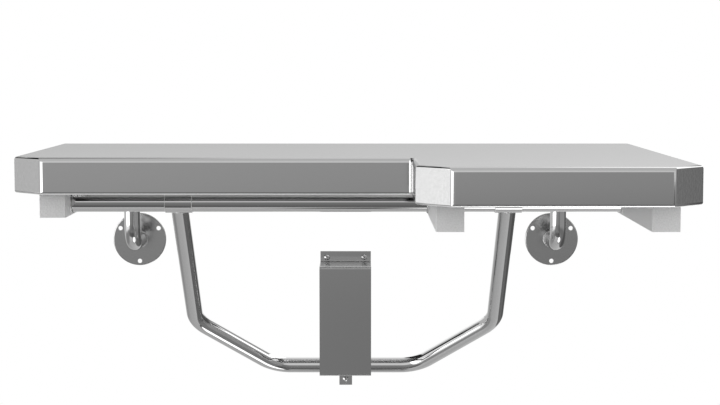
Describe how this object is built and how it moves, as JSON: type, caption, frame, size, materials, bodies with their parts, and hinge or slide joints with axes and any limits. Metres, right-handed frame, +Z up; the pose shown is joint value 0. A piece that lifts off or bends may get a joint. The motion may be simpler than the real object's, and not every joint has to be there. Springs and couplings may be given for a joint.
{
  "type": "fold down wall seat",
  "caption": "L-shaped stainless steel shower seat that folds up on wall flanges, with a tube leg sliding in a wall guide.",
  "frame": {"origin": "on the wall plane, midway between the centres of the two wall flanges", "axes": "+X along the wall towards the long side of the seat, +Y into the wall, +Z up"},
  "size_m": [0.812, 0.602, 0.3535],
  "materials": {
    "seat_sheet": "satin",
    "square_tube": "brushed",
    "bright_tube": "polished",
    "satin_plate": "brushed",
    "guide_steel": "satin",
    "screw_steel": "satin",
    "turned_steel": "machined",
    "nylon": "matte"
  },
  "bodies": {
    "wall_support": {"wall_flange_left": "satin_plate", "wall_flange_right": "satin_plate", "support_tube_left": "bright_tube", "support_tube_right": "bright_tube", "hinge_eye_left": "bright_tube", "hinge_eye_right": "bright_tube", "hinge_bush_left_outer": "nylon", "hinge_bush_left_inner": "nylon", "hinge_bush_right_outer": "nylon", "hinge_bush_right_inner": "nylon", "guide_bracket": "guide_steel", "bracket_screws": "screw_steel"},
    "seat": {"seat_pan": "seat_sheet", "stiffener_left": "seat_sheet", "stiffener_middle": "seat_sheet", "stiffener_right": "seat_sheet", "frame_rail_left": "square_tube", "frame_rail_middle": "square_tube", "frame_rail_right": "square_tube", "front_cap_left": "square_tube", "front_cap_middle": "square_tube", "front_cap_right": "square_tube", "rear_cap_left": "square_tube", "rear_cap_middle": "square_tube", "rear_cap_right": "square_tube", "cross_tube": "bright_tube", "hinge_pin_left": "turned_steel", "hinge_pin_right": "turned_steel", "hinge_spacer_left": "turned_steel", "hinge_spacer_right": "turned_steel", "hinge_collar_left": "turned_steel", "hinge_collar_right": "turned_steel", "collar_screws": "screw_steel"},
    "leg": {"leg_sleeve_left": "bright_tube", "leg_sleeve_right": "bright_tube", "support_leg": "bright_tube"}
  },
  "joints": [
    {"name": "seat_fold", "type": "hinge", "parent": "wall_support", "child": "seat", "pos_m": [0, -0.08, 0.081], "axis": [-1, 0, 0], "range_deg": [0, 90]},
    {"name": "leg_swing", "type": "hinge", "parent": "seat", "child": "leg", "pos_m": [0, -0.298, 0.0785], "axis": [1, 0, 0], "range_deg": [0, 51.6]}
  ],
  "couplings": [
    {"joint": "leg_swing", "follows": "seat_fold", "ratio": 0.57114}
  ]
}
